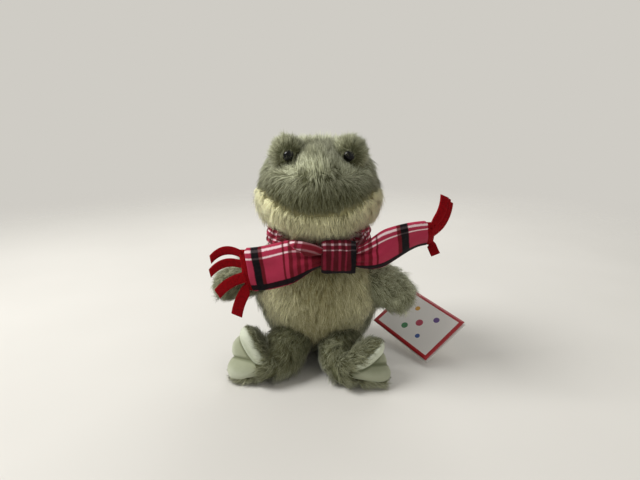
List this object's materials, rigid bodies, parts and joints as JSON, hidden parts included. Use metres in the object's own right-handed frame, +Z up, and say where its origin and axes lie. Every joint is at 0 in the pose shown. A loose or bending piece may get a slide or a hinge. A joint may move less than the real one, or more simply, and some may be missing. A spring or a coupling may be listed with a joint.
{
  "type": "plush frog",
  "caption": "Seated long-pile plush frog with bead eyes, three-toed feet with smooth soles, a tartan scarf with felt fringes and a folded hang tag.",
  "frame": {"origin": "middle of the flat seat that the toy rests on", "axes": "+Z up from the floor to the crown, -Y out of the belly and face, +X to the toy's own left"},
  "size_m": [0.209, 0.1162, 0.1854],
  "materials": {
    "green_fur": "long sage green pile with light tips",
    "cream_fur": "long cream green pile",
    "velour": "short mint velour",
    "flannel": "brushed flannel in a pink, red, black and white tartan",
    "felt": "matte deep crimson felt",
    "bead": "polished black",
    "moulded_nylon": "plain moulded",
    "fibre_fill": "loose white polyester fibre",
    "pouch_cloth": "plain woven bag of pellets",
    "card": "coated white card with a red border"
  },
  "bodies": {
    "body": {"belly_panel": "cream_fur", "back_panel": "green_fur", "body_stuffing": "fibre_fill", "pellet_pouch": "pouch_cloth", "tag_fastener": "moulded_nylon", "scarf_neck_band": "flannel", "scarf_wrap": "flannel", "scarf_tail_left": "flannel", "scarf_tail_right": "flannel", "scarf_fringe_left": "felt", "scarf_fringe_right": "felt"},
    "head": {"head_top_panel": "green_fur", "chin_panel": "cream_fur", "head_stuffing": "fibre_fill", "eye_mound_left": "green_fur", "eye_mound_right": "green_fur", "eye_left": "bead", "eye_right": "bead", "eye_washer_left": "moulded_nylon", "eye_washer_right": "moulded_nylon"},
    "arm_left": {"arm_cover_left": "green_fur", "arm_stuffing_left": "fibre_fill"},
    "arm_right": {"arm_cover_right": "green_fur", "arm_stuffing_right": "fibre_fill"},
    "leg_left": {"leg_cover_left": "green_fur", "leg_stuffing_left": "fibre_fill", "foot_top_left": "green_fur", "foot_sole_left": "velour"},
    "leg_right": {"leg_cover_right": "green_fur", "leg_stuffing_right": "fibre_fill", "foot_top_right": "green_fur", "foot_sole_right": "velour"},
    "tag": {"hang_tag": "card"}
  },
  "joints": [
    {"name": "head_turn", "type": "hinge", "parent": "body", "child": "head", "pos_m": [0, 0, 0.11435], "axis": [0, 0, 1], "range_deg": [-15, 15], "stiffness_Nm_per_rad": 0.3},
    {"name": "arm_left_raise", "type": "hinge", "parent": "body", "child": "arm_left", "pos_m": [0.04135, -0.01671, 0.075], "axis": [0, -1, 0], "range_deg": [0, 35], "stiffness_Nm_per_rad": 0.04},
    {"name": "arm_right_raise", "type": "hinge", "parent": "body", "child": "arm_right", "pos_m": [-0.04055, -0.01638, 0.078], "axis": [0, 1, 0], "range_deg": [0, 35], "stiffness_Nm_per_rad": 0.04},
    {"name": "leg_left_lift", "type": "hinge", "parent": "body", "child": "leg_left", "pos_m": [0.01752, -0.01815, 0.024], "axis": [-1, 0, 0], "range_deg": [0, 20], "stiffness_Nm_per_rad": 0.06},
    {"name": "leg_right_lift", "type": "hinge", "parent": "body", "child": "leg_right", "pos_m": [-0.01707, -0.0183, 0.024], "axis": [-1, 0, 0], "range_deg": [0, 20], "stiffness_Nm_per_rad": 0.06},
    {"name": "tag_swing", "type": "hinge", "parent": "body", "child": "tag", "pos_m": [0.07214, 0.03365, 0.02652], "axis": [-0.75, -0.3993, -0.5272], "range_deg": [0, 25]}
  ]
}
